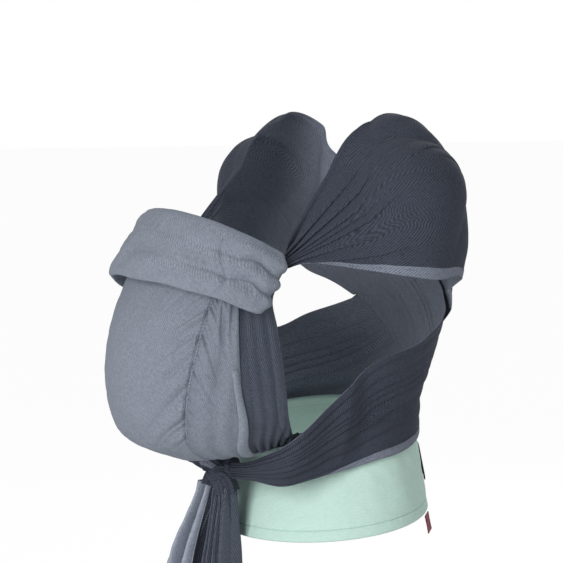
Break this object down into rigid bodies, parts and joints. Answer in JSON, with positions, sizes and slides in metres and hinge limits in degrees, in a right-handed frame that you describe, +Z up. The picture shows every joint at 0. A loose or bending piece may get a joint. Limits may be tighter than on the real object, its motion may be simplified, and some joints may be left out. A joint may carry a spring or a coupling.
{
  "type": "baby wrap sling",
  "caption": "Baby carrier as worn: buckled waistband, pouch panel with turned-down collar, and wide cloth straps fanned over the shoulders, crossed behind and knotted under the pouch.",
  "frame": {"origin": "middle of the waistband's lower opening, level with its lower edge at the wearer's sides", "axes": "+Z up the wearer's body, -Y the way the wearer and the pouch face, +X to the wearer's left"},
  "size_m": [0.4096, 0.3986, 0.8727],
  "materials": {
    "mint_cloth": "plain woven cotton",
    "lining_cloth": "plain woven cotton",
    "foam": "soft foam",
    "dark_cloth": "fine twill, charcoal navy side",
    "grey_cloth": "fine twill, grey-blue side",
    "collar_cloth": "grey-blue knit-like weave",
    "tail_cloth": "fine twill, both sides showing",
    "webbing": "ribbed webbing",
    "buckle_plastic": "fine texture",
    "label_cloth": "woven label, no marking"
  },
  "bodies": {
    "sling": {"waistband_lining": "lining_cloth", "waistband_core": "foam", "waistband_cover": "mint_cloth", "panel_inner": "dark_cloth", "panel_centre": "grey_cloth", "panel_side_left": "grey_cloth", "panel_side_right": "grey_cloth", "left_strap_shoulder": "dark_cloth", "right_strap_shoulder": "dark_cloth", "left_strap_back": "dark_cloth", "right_strap_back": "dark_cloth", "left_strap_waist": "dark_cloth", "right_strap_waist": "dark_cloth", "left_knot_turn": "dark_cloth", "right_knot_turn": "dark_cloth", "webbing_left": "webbing", "webbing_right": "webbing", "buckle_socket": "buckle_plastic"},
    "collar": {"collar_cuff": "collar_cloth", "collar_roll": "collar_cloth"},
    "left_tail": {"left_strap_tail": "tail_cloth"},
    "right_tail": {"right_strap_tail": "tail_cloth"},
    "tongue": {"buckle_tongue": "buckle_plastic"},
    "prong_above": {"upper_prong": "buckle_plastic"},
    "prong_below": {"lower_prong": "buckle_plastic"},
    "label": {"label_tag": "label_cloth"}
  },
  "joints": [
    {"name": "collar_raise", "type": "slide", "parent": "sling", "child": "collar", "axis": [0, -0.1701, 0.9854], "range_m": [0, 0.07]},
    {"name": "left_tail_swing", "type": "hinge", "parent": "sling", "child": "left_tail", "pos_m": [0, -0.138, 0.0429], "axis": [-1, 0, 0], "range_deg": [0, 60]},
    {"name": "right_tail_swing", "type": "hinge", "parent": "sling", "child": "right_tail", "pos_m": [0, -0.138, 0.0429], "axis": [-1, 0, 0], "range_deg": [0, 60]},
    {"name": "tongue_release", "type": "slide", "parent": "sling", "child": "tongue", "axis": [-1, 0, 0], "range_m": [0, 0.025]},
    {"name": "upper_prong_squeeze", "type": "hinge", "parent": "tongue", "child": "prong_above", "pos_m": [-0.0006, 0.0897, 0.0827], "axis": [0, 1, 0], "range_deg": [0, 6], "stiffness_Nm_per_rad": 0.2},
    {"name": "lower_prong_squeeze", "type": "hinge", "parent": "tongue", "child": "prong_below", "pos_m": [-0.0006, 0.0897, 0.0497], "axis": [0, -1, 0], "range_deg": [0, 6], "stiffness_Nm_per_rad": 0.2},
    {"name": "label_flap", "type": "hinge", "parent": "sling", "child": "label", "pos_m": [0.11303, 0.06075, 0.0106], "axis": [0.7004, -0.7069, -0.0991], "range_deg": [0, 60]}
  ]
}
